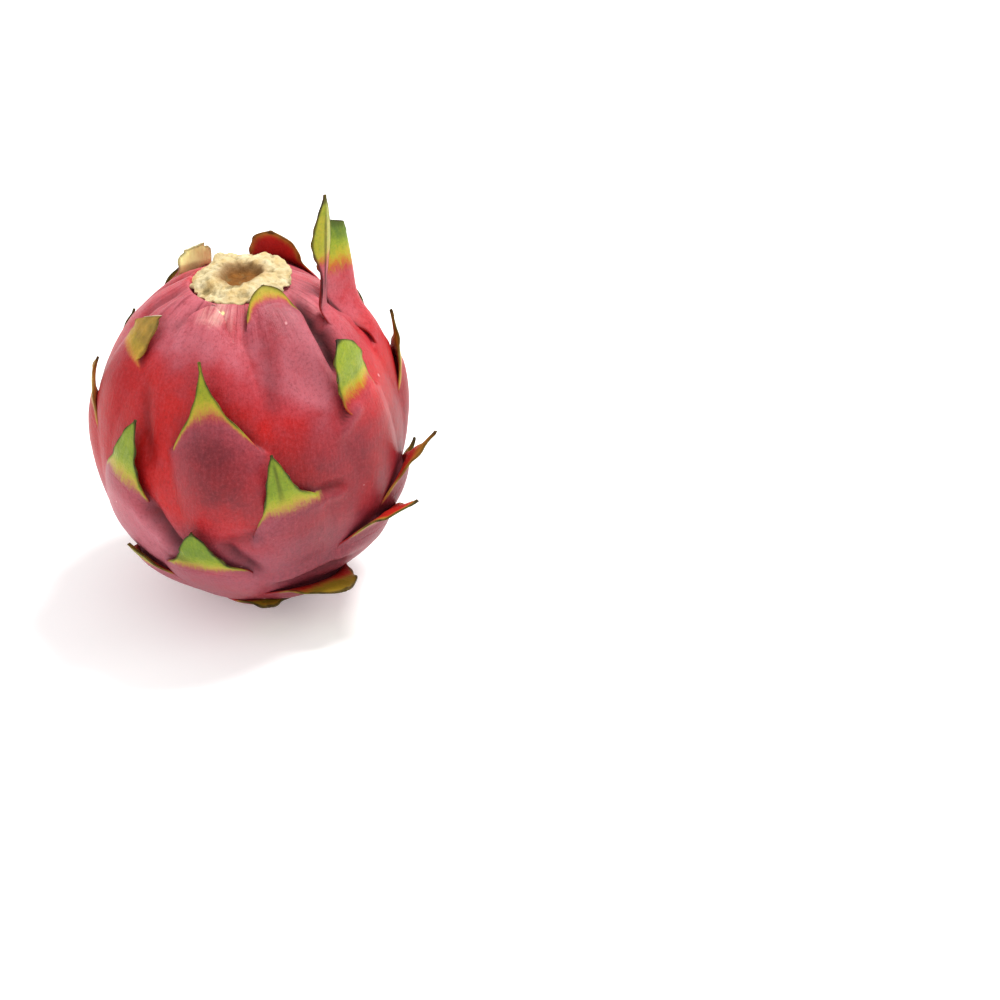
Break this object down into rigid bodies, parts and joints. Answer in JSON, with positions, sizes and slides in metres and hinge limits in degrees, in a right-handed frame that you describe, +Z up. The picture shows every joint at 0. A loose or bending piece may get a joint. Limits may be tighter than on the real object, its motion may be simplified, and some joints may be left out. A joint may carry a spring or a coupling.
{
  "type": "dragon fruit",
  "caption": "Whole red dragon fruit as picked, with leafy green-tipped scales and a dry cream flower scar, standing on its stem end.",
  "frame": {"origin": "middle of the small flat spot at the stem end that the fruit rests on", "axes": "+Z up along the fruit's axis to the flower scar, -Y is the front that the picture shows, +X to its right"},
  "size_m": [0.1025, 0.0988, 0.1347],
  "materials": {
    "peel": "satin waxy skin, red with green scale tips",
    "cork": "matt dry cork"
  },
  "bodies": {
    "root": {"fruit": "peel", "flower_scar": "cork"}
  },
  "joints": []
}
